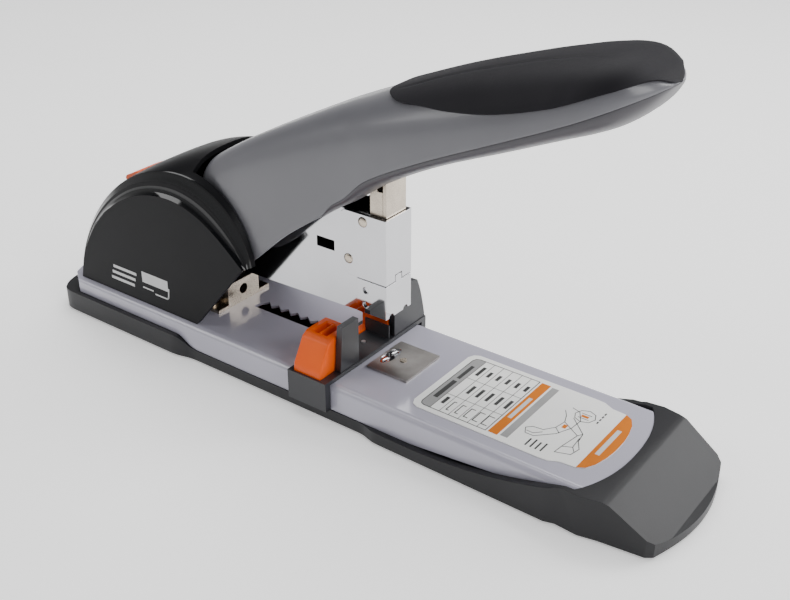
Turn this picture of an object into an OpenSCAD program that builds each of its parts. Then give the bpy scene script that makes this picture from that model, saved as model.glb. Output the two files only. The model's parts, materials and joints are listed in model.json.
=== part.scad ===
// Heavy-duty long-base stapler: swinging handle, sprung magazine with a pull-out
// staple track, sliding paper guide with pinch latches.  Millimetres, +Z up, +X to the
// toe of the base, origin at the middle of the footprint on the table.

/* [Base] */
// Overall length of the base
base_len = 311; // [262:1:372]
// Width of the base at its waist
base_w = 62; // [54:1:74]
// Extra width on each side at the front flare
front_flare = 3; // [1:0.5:6]
// Extra width on each side at the rear flare
rear_flare = 2; // [0.5:0.5:4]
// Height of the deck's top above the table
deck_z = 17.5; // [15:0.5:22]
// Thickness of the deck's sheet steel
deck_t = 1.2; // [0.8:0.1:1.6]
// Height at which the deck's skirt ends, along the waist
skirt_z = 6; // [4:0.5:8]
// Height of the tray's rear collar
collar_z = 10.5; // [8:0.5:13]
// Height of the front lip of the toe
toe_z = 4.5; // [3:0.5:6]
// Wall of the moulded tray
tray_wall = 2.5; // [2:0.1:3.5]
// Thickness of the rubber feet below the tray
foot_drop = 1; // [0.5:0.1:2]
// Radius of each rubber foot
foot_r = 8; // [5:0.5:10]

/* [Magazine] */
// Outside width of the front cover of the magazine
mag_w = 16.5; // [15.5:0.1:19]
// Sheet thickness of the magazine, its cover and its track
mag_t = 0.8; // [0.6:0.05:1]
// Gap between the nose and the deck at rest
throat = 22.5; // [20:0.5:26]
// Height of the magazine from its lower edge to its top
mag_h = 42.5; // [40:0.5:46]
// Height of the pull-out nose
nose_h = 14.6; // [13:0.2:16]
// Radius of the magazine's pivot pin
mag_pin_r = 2.5; // [2:0.1:3]
// Length of the loaded staple strip
strip_len = 28; // [10:1:40]
// Radius of the pusher's guide rod
rod_r = 1.2; // [1:0.1:1.5]

/* [Handle] */
// Half the width of the handle at its widest
grip_half = 26; // [22:0.5:30]
// Wall of the handle's mouldings
shell_wall = 2.2; // [1.6:0.1:2.8]
// Radius of the main pivot pin
main_pin_r = 3; // [2.5:0.1:3.5]
// Thickness of the steel lever's cheeks
lever_t = 1.8; // [1.4:0.1:2.2]
// Thickness of the soft grip
grip_t = 0.9; // [0.5:0.1:1.5]

/* [Fits] */
// Radial running clearance on pins and rods
run_fit = 0.05; // [0.03:0.01:0.08]

/* [Hidden] */
$fn = 48;

plastic = "#343338";
paint = "#8b8995";
chrome = "#d8d8da";
nickel = "#c4b8a8";
orange = "#e8650f";
shell_grey = "#75757b";
eps = 0.01;

// places along the base
end_x = base_len / 2;
// the mechanism is dimensioned from this point, a fixed setback from the rear end
mech_x = 155.5 - end_x;
half_w = base_w / 2;
deck_half = half_w - 0.5;
deck_rear = -end_x + 5.5;
deck_front = end_x - 27.5;
crest_x = end_x - 25;
crest_z = deck_z + 0.5;
rise_x = end_x - 105;

// pivots and travels
handle_px = -76;
handle_pz = deck_z + 42.5;
mag_px = -98;
mag_pz = deck_z + 26.5;
mag_z = deck_z + throat;
mag_top = mag_z + mag_h;
nose_front = 22.5;
nose_rear = 8;
nose_top = mag_z + nose_h;
cover_rear = 1;
mag_half = mag_w / 2;
plate_out = mag_half - mag_t - 0.05;
plate_in = plate_out - mag_t;
staple_half = plate_in - 0.15;
rail_half = staple_half - 1;
rail_rear = -60;
rail_front = 19.4;
rod_z = mag_z + 8;
drive_pin_x = 11;
drive_pin_z = mag_top + 22.5;
drive_pin_r = 2;
frame_in = mag_half - 0.05;
frame_t = 1.5;
frame_out = frame_in + frame_t;
lever_in = frame_out + 0.5;
lever_out = lever_in + lever_t;

// widths of the rear cover and the handle inside it
cover_half = half_w - 3;
rim_half = cover_half - 4;
cover_wall = 2.2;
handle_half = rim_half - cover_wall - 0.8;

function bez(a, b, c, d, n = 12) = [for (i = [0:n]) let (t = i / n, u = 1 - t)
    u * u * u * a + 3 * u * u * t * b + 3 * u * t * t * c + t * t * t * d];
function arc(cx, cy, r, a0, a1, n = 8) = [for (i = [0:n]) let (a = a0 + (a1 - a0) * i / n)
    [cx + r * cos(a), cy + r * sin(a)]];
function mirror_y(p) = concat(p, [for (i = [len(p) - 1:-1:0]) [p[i][0], -p[i][1]]]);

module mech() translate([mech_x, 0, 0]) children();
// an XZ outline as a slab across Y, from y0 to y1
module slab(y0, y1) translate([0, y1, 0]) rotate([90, 0, 0]) linear_extrude(y1 - y0) children();
module both(y0, y1) for (s = [0, 1]) mirror([0, s, 0]) slab(y0, y1) children();
module pin_y(x, z, r, y0, y1) translate([x, y0, z]) rotate([-90, 0, 0]) cylinder(r = r, h = y1 - y0);
module pin_x(y, z, r, x0, x1) translate([x0, y, z]) rotate([0, 90, 0]) cylinder(r = r, h = x1 - x0);
module box(a, b) translate(a) cube(b - a);

// base
function tray_plan() = mirror_y(concat(
    bez([-end_x, 0], [-end_x, 14], [-end_x + 1.5, half_w - 6], [-end_x + 6, half_w - 1]),
    bez([-end_x + 6, half_w - 1], [-end_x + 8, half_w + rear_flare], [-end_x + 11, half_w + rear_flare],
        [-end_x + 18, half_w + rear_flare], 6),
    bez([-end_x + 78, half_w + rear_flare], [-end_x + 84, half_w + rear_flare], [-end_x + 86, half_w],
        [-end_x + 92, half_w], 6),
    bez([end_x - 130, half_w], [end_x - 125, half_w], [end_x - 124, half_w + front_flare - 1],
        [end_x - 119, half_w + front_flare - 1], 6),
    [[end_x - 45, half_w + front_flare], [end_x - 41, half_w + front_flare - 1.2]],
    [[end_x - 32, half_w + front_flare - 0.5], [end_x - 25, half_w + 1], [end_x - 8, half_w - 1]],
    bez([end_x - 5.5, half_w - 2.8], [end_x - 2, half_w - 13], [end_x, 10], [end_x, 0])));

function tray_side() = concat([[-end_x - 1, foot_drop], [-end_x - 1, collar_z]],
    bez([mech_x - 76, collar_z], [mech_x - 70, collar_z], [mech_x - 70, skirt_z], [mech_x - 62, skirt_z]),
    bez([rise_x, skirt_z], [rise_x + 32, skirt_z + 0.5], [rise_x + 50, deck_z - 5], [rise_x + 66, deck_z]),
    [[crest_x, crest_z], [crest_x + 3, crest_z - 0.6], [end_x - 3, toe_z + 0.6], [end_x + 1, toe_z],
    [end_x + 1, foot_drop]]);

function deck_plan(grow = 0) = mirror_y(concat(
    bez([deck_rear - grow, 0], [deck_rear - grow, 14], [deck_rear - grow, deck_half - 14],
        [deck_rear + 5, deck_half - 4 + grow]),
    [[deck_rear + 11, deck_half + grow], [deck_front - 8, deck_half + grow]],
    bez([deck_front - 6, deck_half - 3 + grow], [deck_front - 2, deck_half - 10], [deck_front + grow, 12],
        [deck_front + grow, 0])));

deck_holes = [[mech_x - 138, 0], [mech_x - 30, 21], [mech_x - 30, -21], [mech_x + 38, 22],
    [mech_x + 38, -22]];
cover_holes = [for (s = [-1, 1]) [mech_x - 122, s * (cover_half - 9)]];
foot_places = [for (x = [-end_x + 22, end_x - 22], s = [-1, 1]) [x, s * (half_w - 13)]];
boss_r = 3.6;
screw_r = 1.4;
foot_h = 3;
seat_gap = 0.3;
top_gap = 0.05;

module base_tray() color(plastic) difference() {
    union() {
        difference() {
            intersection() {
                translate([0, 0, foot_drop]) linear_extrude(crest_z + 1) polygon(tray_plan());
                slab(-60, 60) polygon(tray_side());
            }
            // seat of the deck: its skirt stands on a ledge
            translate([0, 0, skirt_z]) linear_extrude(deck_z) polygon(deck_plan(seat_gap));
        }
        // wall inside the skirt, which carries the deck's top
        intersection() {
            translate([0, 0, foot_drop]) linear_extrude(deck_z) polygon(deck_plan(-deck_t - seat_gap));
            translate([0, 0, -top_gap]) along_x() deck_section(deck_t);
        }
    }
    // the hollow below the deck, around the screw bosses
    difference() {
        translate([0, 0, foot_drop + tray_wall]) linear_extrude(deck_z)
            polygon(deck_plan(-deck_t - seat_gap - tray_wall));
        for (p = concat(deck_holes, cover_holes)) translate([p[0], p[1], 0])
            cylinder(r = boss_r, h = deck_z);
        for (p = foot_places) translate([p[0], p[1], 0])
            cylinder(r = foot_r + tray_wall, h = foot_h + tray_wall);
    }
    for (p = concat(deck_holes, cover_holes)) translate([p[0], p[1], -eps]) {
        cylinder(r = screw_r, h = 2 * deck_z);
        cylinder(r = screw_r * 2.2, h = foot_drop + tray_wall);
    }
    for (p = foot_places) translate([p[0], p[1], -eps]) cylinder(r = foot_r + 0.2, h = foot_h);
}

module rubber_feet() color("#222222") for (p = foot_places) translate([p[0], p[1], 0])
    cylinder(r = foot_r, h = foot_h - eps);

// rack slot: straight near edge, saw teeth on the far edge
slot_x0 = -56;
slot_x1 = 6;
slot_near = -1.5;
tooth_tip = 3;
tooth_root = 5.5;
tooth_pitch = 5.6;
function rack() = concat([[slot_x0, slot_near], [slot_x1, slot_near], [slot_x1, tooth_tip]],
    [for (i = [floor((slot_x1 - slot_x0) / tooth_pitch) - 1:-1:0]) let (x = slot_x0 + i * tooth_pitch + 1)
        each [[x + tooth_pitch * 0.95, tooth_tip], [x + tooth_pitch * 0.35, tooth_root], [x, tooth_tip]]]);

// cross-section of the deck's outside, with rounded top edges
edge_r = 3;
module deck_section(inset = 0) {
    w = deck_half - inset;
    h = deck_z - inset;
    translate([-w, 0]) square([2 * w, h - edge_r]);
    translate([-w + edge_r, 0]) square([2 * (w - edge_r), h]);
    for (s = [-1, 1]) translate([s * (w - edge_r), h - edge_r]) circle(r = edge_r);
}
module along_x() translate([-end_x, 0, 0]) rotate([90, 0, 90]) linear_extrude(base_len) children();

module deck_plate() color(paint) difference() {
    intersection() {
        translate([0, 0, skirt_z]) linear_extrude(deck_z) polygon(deck_plan());
        along_x() deck_section();
        // the skirt follows the tray's rising rim
        slab(-60, 60) polygon(concat([[-end_x, collar_z], [-end_x, deck_z + 1], [end_x, deck_z + 1],
            [end_x, deck_z - 5], [rise_x + 60, deck_z - 6], [rise_x, skirt_z]],
            bez([mech_x - 62, skirt_z], [mech_x - 70, skirt_z], [mech_x - 70, collar_z],
                [mech_x - 76, collar_z])));
    }
    intersection() {
        translate([0, 0, -1]) linear_extrude(deck_z - deck_t + 1) polygon(deck_plan(-deck_t));
        along_x() deck_section(deck_t);
    }
    translate([mech_x, 0, 0]) linear_extrude(deck_z + 1) polygon(rack());
    for (p = cover_holes) translate([p[0], p[1], 0]) cylinder(r = screw_r, h = deck_z + 1);
    translate([mech_x + anvil_x, 0, 0]) cylinder(r = 1.5, h = deck_z + 1);
    for (p = rivet_places) translate([mech_x + p[0], p[1], 0]) cylinder(r = 1.6, h = deck_z + 1);
}

module screw(z0, z1, head = 2.2) {
    cylinder(r = screw_r - 0.05, h = z1 - z0);
    difference() {
        cylinder(r = screw_r * head - 0.2, h = 1.6);
        translate([0, 0, -eps]) cylinder(r = 1.1, h = 0.9, $fn = 6);
    }
}

module deck_screws() color(nickel) for (p = deck_holes) translate([p[0], p[1], foot_drop + 0.8])
    screw(foot_drop + 0.8, deck_z - deck_t - 0.2);

// anvil plate
anvil_x = 25;
anvil_len = 19.6;
anvil_wid = 23.4;
anvil_t = 1;
groove_x = 18;
module anvil_plate() color(chrome) mech() difference() {
    translate([anvil_x, 0, deck_z]) linear_extrude(anvil_t) union() {
        square([anvil_len, anvil_wid - 4], center = true);
        square([anvil_len - 4, anvil_wid], center = true);
        for (i = [-1, 1], j = [-1, 1]) translate([i * (anvil_len / 2 - 2), j * (anvil_wid / 2 - 2)])
            circle(r = 2);
    }
    for (s = [-1, 1]) translate([groove_x, s * 3.2, deck_z + anvil_t + 1.1]) rotate([90, 0, 0])
        translate([0, 0, -3]) cylinder(r = 1.8, h = 6);
    translate([anvil_x, 0, deck_z - eps]) cylinder(r = 1.5, h = 2);
}
module anvil_screw() color(nickel) mech() translate([anvil_x, 0, deck_z - deck_t - 1.4]) {
    cylinder(r = 1.45, h = deck_t + 1.4 + anvil_t + 0.4);
    cylinder(r = 2.6, h = 1.4);
}

// printed instruction plate
label_x0 = mech_x + 42.5;
label_x1 = end_x - 34;
label_half = half_w - 8.3;
module label_plate() color("#d9d9d6") translate([0, 0, deck_z]) linear_extrude(0.3) polygon(mirror_y(concat(
    arc(label_x0 + 3, label_half - 3, 3, 180, 90), arc(label_x1 - 9, label_half - 5, 5, 90, 20),
    [[label_x1, 0]])));

// pivot frame and cover
frame_rear = -112;
frame_front = -63;
flange_t = 1.5;
rivet_places = [for (x = [-106, -70], s = [-1, 1]) [x, s * (frame_out + 3.2)]];
module frame_outline() polygon([[frame_rear, deck_z], [frame_front, deck_z], [frame_front, deck_z + 12],
    [handle_px + 9, handle_pz - 4], [handle_px + 8, handle_pz + 5], [handle_px + 4, handle_pz + 8.5],
    [handle_px - 4, handle_pz + 8.5], [handle_px - 8, handle_pz + 5], [mag_px - 9, mag_pz + 8],
    [frame_rear, mag_pz]]);
module pivot_frame() color(nickel) mech() difference() {
    union() {
        both(frame_in, frame_out) frame_outline();
        box([frame_rear, -frame_out - 6.4, deck_z], [frame_rear + 14, frame_out + 6.4, deck_z + flange_t]);
        box([frame_front - 14, -frame_out - 6.4, deck_z], [frame_front, frame_out + 6.4, deck_z + flange_t]);
        box([frame_front - frame_t, -frame_out, deck_z], [frame_front, frame_out, deck_z + 11]);
    }
    pin_y(handle_px, handle_pz, main_pin_r, -30, 30);
    pin_y(mag_px, mag_pz, mag_pin_r, -30, 30);
    for (p = rivet_places) translate([p[0], p[1], 0]) cylinder(r = 1.6, h = deck_z + 5);
    pin_x(0, deck_z + 6, 2.4, frame_front - 5, frame_front + 5);
}
module frame_rivets() color(nickel) mech() for (p = rivet_places) translate([p[0], p[1], 0]) {
    translate([0, 0, deck_z - deck_t - 1]) cylinder(r = 1.6, h = deck_t + 1 + flange_t + 1);
    translate([0, 0, deck_z - deck_t - 1]) cylinder(r = 2.6, h = 1);
    translate([0, 0, deck_z + flange_t]) cylinder(r = 2.8, h = 1);
}
pin_end = lever_out + 1.2;
module main_pivot_pin() color(nickel) mech() difference() {
    union() {
        pin_y(handle_px, handle_pz, main_pin_r, -pin_end, pin_end);
        pin_y(handle_px, handle_pz, main_pin_r + 1.6, -pin_end - 1, -pin_end + 0.8);
    }
    clip_groove(handle_px, handle_pz, main_pin_r, pin_end - 0.9);
}
mag_pin_end = frame_out + 1.4;
module magazine_pivot_pin() color(nickel) mech() difference() {
    union() {
        pin_y(mag_px, mag_pz, mag_pin_r, -mag_pin_end, mag_pin_end);
        pin_y(mag_px, mag_pz, mag_pin_r + 1.4, -mag_pin_end - 0.8, -frame_out - 0.1);
    }
    clip_groove(mag_px, mag_pz, mag_pin_r, mag_pin_end - 0.9);
}
clip_t = 0.5;
module clip_groove(x, z, r, y) difference() {
    pin_y(x, z, r + 1, y, y + clip_t);
    pin_y(x, z, r - 0.5, y - 1, y + 2);
}
module clip(x, z, r, y) difference() {
    pin_y(x, z, r + 1.5, y + 0.02, y + clip_t - 0.02);
    pin_y(x, z, r - 0.45, y - 1, y + 2);
    box([x - 0.6, y - 1, z - r - 3], [x + 0.6, y + 2, z]);
}
module pin_clips() color("#55555a") mech() {
    clip(handle_px, handle_pz, main_pin_r, pin_end - 0.9);
    clip(mag_px, mag_pz, mag_pin_r, mag_pin_end - 0.9);
}

// torsion spring on the main pin, between the frame's cheeks
coil_wire = 0.8;
module handle_spring() color("#8a8a8f") mech() {
    for (i = [-2:2]) translate([handle_px, i * 2.1, handle_pz]) rotate([90, 0, 0])
        rotate_extrude() translate([main_pin_r + 0.4 + coil_wire, 0]) circle(r = coil_wire, $fn = 16);
    for (i = [-2:1]) pin_y(handle_px, handle_pz + main_pin_r + 0.4 + coil_wire, coil_wire * 0.8,
        i * 2.1, i * 2.1 + 2.1);
}
// compression spring that lifts the magazine, standing on the deck inside the frame
lift_x = -84;
lift_h = mag_z - 2 - deck_z - 1;
lift_turns = 6;
module lift_spring() color("#8a8a8f") mech() for (i = [0:lift_turns - 1])
    translate([lift_x, 0, deck_z + coil_wire + i * (lift_h - 2 * coil_wire) / (lift_turns - 1)])
        rotate_extrude() translate([4.5, 0]) circle(r = coil_wire, $fn = 16);

// side outlines of the cover: flat cheek, rim, and crown; each ends on the front edge
cover_nose = [-35, deck_z + 35];
cover_foot = [-64.5, deck_z];
function cheek_line() = concat(
    bez([-139, deck_z], [-133, deck_z + 30.5], [-104, deck_z + 55.5], [-76, deck_z + 55.5]),
    bez([-75, deck_z + 55.5], [-58, deck_z + 55.5], [-46, deck_z + 44.5], cover_nose), [cover_foot]);
function rim_line() = concat(
    bez([-143, deck_z], [-139, deck_z + 29.5], [-106, deck_z + 66.5], [-70, deck_z + 66.7]),
    bez([-69, deck_z + 66.7], [-51, deck_z + 66.7], [-36, deck_z + 52.5], cover_nose + [2, 0]), [cover_foot]);
function crown_line() = concat(
    bez([-147, deck_z], [-144, deck_z + 30.5], [-110, deck_z + 62.5], [-62, deck_z + 75]),
    bez([-61, deck_z + 75], [-48, deck_z + 74], [-36, deck_z + 56], cover_nose + [3, 0]), [cover_foot]);
crown_half = rim_half - 10;
// an outline moved inwards by d: each corner goes along the mean of its two edges' normals
function unit(v) = v / norm(v);
function inward(a, b) = let (t = unit(b - a)) [t[1], -t[0]];
function shrink(p, d) = let (n = len(p)) [for (i = [0:n - 1])
    let (a = inward(p[(i + n - 1) % n], p[i]), b = inward(p[i], p[(i + 1) % n]))
        p[i] + d * (a + b) / (1 + a * b)];
// a closed skin through equal outlines that stand across Y
module skin(lines, ys) {
    m = len(lines[0]);
    n = len(lines);
    polyhedron([for (i = [0:n - 1], p = lines[i]) [p[0], ys[i], p[1]]], concat(
        [for (i = [0:n - 2], j = [0:m - 1]) let (k = (j + 1) % m, a = i * m)
            each [[a + j, a + m + j, a + k], [a + k, a + m + j, a + m + k]]],
        [[for (j = [0:m - 1]) j]], [[for (j = [m - 1:-1:0]) (n - 1) * m + j]]));
}
module cover_body(inset) {
    lines = [for (p = [cheek_line(), rim_line(), crown_line(), crown_line(), rim_line(), cheek_line()])
        shrink(p, inset)];
    skin(lines, [for (y = [-cover_half, -rim_half, -crown_half]) y + inset,
        for (y = [crown_half, rim_half, cover_half]) y - inset]);
}
button_x = -113.5;
button_z = deck_z + 50.5;
button_tilt = 33;
button_len = 20;
button_half = 9;
button_h = 3;
module at_button() translate([button_x, 0, button_z]) rotate([0, -button_tilt, 0]) children();
module rear_cover() color(plastic) mech() {
    difference() {
        cover_body(0);
        cover_body(cover_wall);
        box([-136, -cover_half + cover_wall + 0.5, 0], [-60, cover_half - cover_wall - 0.5, deck_z + 8]);
        box([-68, -rim_half + cover_wall, 0], [0, rim_half - cover_wall, 200]);
        at_button() box([-button_len / 2 - 0.4, -button_half - 0.4, -20],
            [button_len / 2 + 0.4, button_half + 0.4, 20]);
    }
    for (p = cover_holes) translate([p[0] - mech_x, p[1], deck_z]) difference() {
        union() {
            cylinder(r = boss_r, h = 18);
            translate([-1, p[1] > 0 ? boss_r - 1 : -boss_r - cover_wall - 4.5, 0])
                cube([2, cover_wall + 5.5, 16]);
        }
        translate([0, 0, -eps]) cylinder(r = screw_r, h = 14);
    }
}
module cover_screws() color(nickel) for (p = cover_holes) translate([p[0], p[1], foot_drop + 0.8])
    screw(foot_drop + 0.8, deck_z + 12);
// rear button that frees the staple track
module release_button() color(orange) mech() at_button() difference() {
    slab(-button_half, button_half) polygon([[-button_len / 2, -3], [button_len / 2, -3],
        [button_len / 2, 0.4], [button_len / 2 - 1, 0.9], [0.5, 0.9], [-1.5, button_h - 1],
        [-button_len / 2 + 1.5, button_h], [-button_len / 2, button_h - 0.7]]);
    // finger groove
    pin_y(-button_len / 4, button_h + 1, 2, -button_half + 2, button_half - 2);
}

// magazine
function plate_line() = [[nose_front - mag_t - 0.1, mag_z + 1.3], [nose_rear - 0.3, mag_z + 1.3],
    [nose_rear - 0.3, mag_z - 0.4], [-50, mag_z - 1.8], [mag_px - 4, mag_pz - 6], [mag_px - 6, mag_pz],
    [mag_px - 4, mag_pz + 6], [-70, mag_pz + 8], [-22, mag_top + 1.5], [cover_rear - 2.5, mag_top + 1.5],
    [cover_rear, mag_top], [nose_front - mag_t - 0.1, mag_top]];
roof_z = nose_top + 0.5;
module magazine_body() color(chrome) mech() difference() {
    union() {
        both(plate_in, plate_out) polygon(plate_line());
        box([-66, -plate_in - eps, roof_z], [rail_front - 1, plate_in + eps, roof_z + mag_t]);
        box([-62.5, -plate_in - eps, mag_z], [-61.5, plate_in + eps, roof_z + eps]);
        box([-26, -plate_in - eps, roof_z], [-25, plate_in + eps, mag_top - 4]);
        pin_y(mag_px, mag_pz, mag_pin_r + 1.5, -plate_in - eps, plate_in + eps);
    }
    pin_y(mag_px, mag_pz, mag_pin_r + run_fit, -30, 30);
    // sight window
    both(0, 30) translate([-12.5, mag_z + 22.5]) square([9, 4.5]);
    for (p = rivets) pin_y(p[0], p[1], rivet_r, -30, 30);
}
rivet_r = 1.3;
rivets = [[11.5, mag_top - 3], [4.2, mag_top - 20.5]];
module front_cover() color(chrome) mech() difference() {
    union() {
        both(mag_half - mag_t, mag_half) polygon([
            [cover_rear, nose_top + 4], [cover_rear + 3, nose_top + 0.4],
            [nose_front, nose_top + 0.4], [nose_front, mag_top], [cover_rear + 1, mag_top],
            [cover_rear, mag_top - 1]]);
        box([nose_front - mag_t, -mag_half + eps, nose_top + 0.4], [nose_front, mag_half - eps, mag_top]);
    }
    for (p = rivets) pin_y(p[0], p[1], rivet_r, -30, 30);
    // key for the tongue of the nose
    box([nose_front - 2, -2.2, nose_top], [nose_front + 1, 2.2, nose_top + 3.2]);
}
module cover_rivets() color(nickel) mech() for (p = rivets, s = [0, 1]) mirror([0, s, 0]) {
    pin_y(p[0], p[1], rivet_r, plate_in - 0.2, mag_half + 0.4);
    pin_y(p[0], p[1], 2.2, mag_half, mag_half + 0.7);
}
// pull-out track: open channel, rear stop, and the flange under the nose
module staple_track() color(chrome) mech() difference() {
    union() {
        both(rail_half - mag_t, rail_half) polygon([[rail_rear, mag_z + 1.2], [rail_front, mag_z + 1.2],
            [rail_front, nose_top - 0.8], [rail_rear, nose_top - 0.8]]);
        box([rail_rear, -rail_half + eps, mag_z + 1.2], [rail_front, rail_half - eps, mag_z + 2]);
        box([rail_rear, -rail_half + eps, mag_z + 1.2], [rail_rear + 1, rail_half - eps, nose_top - 0.8]);
        box([rail_front - 1.4, -rail_half + eps, mag_z + 1.2], [rail_front, rail_half - eps, nose_top - 0.8]);
        box([nose_rear + 0.2, -mag_half + mag_t, mag_z + 0.4], [19, mag_half - mag_t, mag_z + 1.2 + eps]);
    }
    pin_x(0, rod_z, rod_r, rail_rear - 5, 25);
}
module track_nose() color(chrome) mech() difference() {
    union() {
        both(mag_half - mag_t, mag_half) polygon([[nose_rear, mag_z], [nose_front, mag_z],
            [nose_front, nose_top], [nose_rear, nose_top]]);
        box([nose_front - mag_t, -mag_half + eps, mag_z], [nose_front, mag_half - eps, nose_top]);
        box([nose_front - mag_t, -1.9, nose_top - eps], [nose_front, 1.9, nose_top + 2.8]);
    }
    for (z = [mag_z + 4, mag_z + 10.2]) pin_y(12.5, z, 1.5, -30, 30);
    // notches in the lower edge of the front
    for (s = [-1, 1]) pin_x(s * 4.6, mag_z, 1.5, nose_front - 3, nose_front + 1);
}
strip_x1 = rail_front + 0.1;
module staple_strip() color("#b9bcc0") mech() difference() {
    box([strip_x1 - strip_len, -staple_half, mag_z + 1.4], [strip_x1, staple_half, nose_top - 0.1]);
    box([strip_x1 - strip_len - 1, -rail_half - 0.1, mag_z],
        [strip_x1 + 1, rail_half + 0.1, nose_top - 0.75]);
}
pusher_x1 = strip_x1 - strip_len - 0.1;
pusher_x0 = pusher_x1 - 9;
module pusher() color("#55555a") mech() difference() {
    union() {
        difference() {
            box([pusher_x0, -staple_half, mag_z + 1.5], [pusher_x1, staple_half, nose_top - 0.1]);
            box([pusher_x0 - 1, -rail_half - 0.15, mag_z], [pusher_x1 + 1, rail_half + 0.15, nose_top - 0.7]);
        }
        box([pusher_x0, -rail_half + mag_t + 0.4, mag_z + 2.4],
            [pusher_x1, rail_half - mag_t - 0.4, nose_top - 0.7 + eps]);
    }
    pin_x(0, rod_z, rod_r + run_fit, pusher_x0 - 5, pusher_x1 + 5);
}
module pusher_rod() color(nickel) mech() pin_x(0, rod_z, rod_r, rail_rear - 0.6, rail_front);
module pusher_spring() color("#8a8a8f") mech() for (i = [0:14])
    translate([rail_rear + 2 + i * (pusher_x0 - rail_rear - 3) / 14, 0, rod_z]) rotate([0, 90, 0])
        rotate_extrude() translate([rod_r + 0.7, 0]) circle(r = 0.4, $fn = 12);

// driver: the block carries the blade and hangs from a cross pin in the lever's slots
block_half = plate_in - 0.35;
block_x0 = 13.5;
blade_x0 = rail_front + 0.25;
blade_t = 1.7;
blade_stroke = 14.3;
module driver_block() color(nickel) mech() difference() {
    union() {
        box([block_x0, -block_half, roof_z + mag_t + blade_stroke + 0.5],
            [blade_x0 - 0.1, block_half, drive_pin_z - 12]);
        box([6, -block_half, drive_pin_z - 13], [17, block_half, drive_pin_z + 4]);
    }
    pin_y(drive_pin_x, drive_pin_z, drive_pin_r, -30, 30);
}
module driver_blade() color(nickel) mech()
    box([blade_x0, -block_half, nose_top + 0.3], [blade_x0 + blade_t, block_half, drive_pin_z - 2]);
module driver_pin() color(nickel) mech() pin_y(drive_pin_x, drive_pin_z, drive_pin_r,
    -lever_out - 1, lever_out + 1);

// handle
// stations along X: x, top at the middle, lower edge, half width, squareness
stations = [
    [-66, 84, 44, handle_half - 1.5, 5], [-63, 89.4, 44.2, handle_half - 0.4, 5],
    [-57, 93.8, 45, handle_half, 5], [-42, 102.3, 49, handle_half, 5],
    [-18, 114.6, 69.5, handle_half + 0.4, 4.4],
    [0, 123.4, 82.5, handle_half + 1, 4], [14, 129.6, 91, handle_half + 1.6, 3.6],
    [28, 135.8, 101, handle_half + 2.6, 3.2], [52, 145.3, 114, grip_half - 1.2, 2.8],
    [80, 154.6, 126, grip_half - 0.4, 2.6], [101, 160.3, 134.8, grip_half - 1.4, 2.6],
    [108, 161.6, 137.6, grip_half - 2.1, 2.6], [114, 161.9, 140.4, grip_half - 4.4, 2.6],
    [119.5, 158.8, 143.6, grip_half - 8.4, 2.6], [123, 154.8, 146.2, grip_half - 13, 2.5],
    [125.6, 151, 148.4, grip_half - 19, 2.4]];
lift = deck_z - 17.5;
ring_n = 28;
function signed_pow(v, p) = (v < 0 ? -1 : 1) * pow(abs(v), p);
function ring(s, g, fl) = [for (j = [0:ring_n]) let (a = 180 * j / ring_n)
    [s[0], (s[3] + g) * signed_pow(cos(a), 2 / s[4]),
    s[2] + fl + lift + (s[1] + g - s[2] - fl) * pow(sin(a), 2 / s[4])]];
// g grows the surface outwards, fl raises its floor, back and front pull its ends in
module loft(g = 0, fl = 0, back = 0, front = 0) {
    n = len(stations);
    fine = [for (i = [0:n - 1]) let (s = stations[i]) [s[0] + (i == 0 ? back : i == n - 1 ? -front : 0),
        s[1], s[2], s[3], s[4]]];
    pts = [for (s = fine) each ring(s, g, fl)];
    m = ring_n + 1;
    polyhedron(pts, concat(
        [for (i = [0:n - 2], j = [0:m - 1]) let (k = (j + 1) % m, a = i * m)
            each [[a + j, a + m + j, a + k], [a + k, a + m + j, a + m + k]]],
        [[for (j = [0:m - 1]) j]], [[for (j = [m - 1:-1:0]) (n - 1) * m + j]]));
}
// the part of the handle below its seam
seam = [[4, 60], [4, 88.5], [14, 94.8], [24, 103.4], [48.5, 116.4], [80, 130.9], [101, 139.9], [113, 145],
    [121, 148], [140, 152]];
module below_seam(gap) translate([0, 0, lift - gap]) slab(-60, 60) polygon(concat(seam, [[140, 60]]));
// screw lugs on the middle line, standing on the floor of the lower shell
lug_x = [44, 78, 108];
lug_r = 3.4;
lug_seat = 4.2;
lug_z = [for (x = lug_x) lift + lookup(x, [for (s = stations) [s[0], s[2]]])];
module lugs(r, z0, z1) for (i = [0:2]) translate([lug_x[i], 0, lug_z[i] + z0]) cylinder(r = r, h = z1 - z0);
module handle_upper_shell() color(shell_grey) mech() {
    difference() {
        loft();
        loft(-shell_wall, -3, -1, shell_wall);
        below_seam(0);
    }
    difference() {
        intersection() {
            lugs(lug_r, lug_seat + 0.1, 60);
            loft(-shell_wall / 2);
        }
        lugs(screw_r, 0, lug_seat + 8);
    }
}
module handle_lower_shell() color("#6b6870") mech() difference() {
    intersection() {
        loft();
        below_seam(0.15);
    }
    difference() {
        loft(-shell_wall, shell_wall, shell_wall, shell_wall);
        lugs(lug_r + 1.2, -2, lug_seat);
    }
    // way in for the magazine and the driver
    box([-10, -lever_out - 1.2, 40], [34, lever_out + 1.2, 200]);
    lugs(screw_r, -12, 12);
    lugs(screw_r * 2.2, -12, 2);
}
module handle_screws() color(nickel) mech() for (i = [0:2])
    translate([lug_x[i], 0, lug_z[i] + 0.3]) screw(0, lug_seat + 7);
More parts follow.
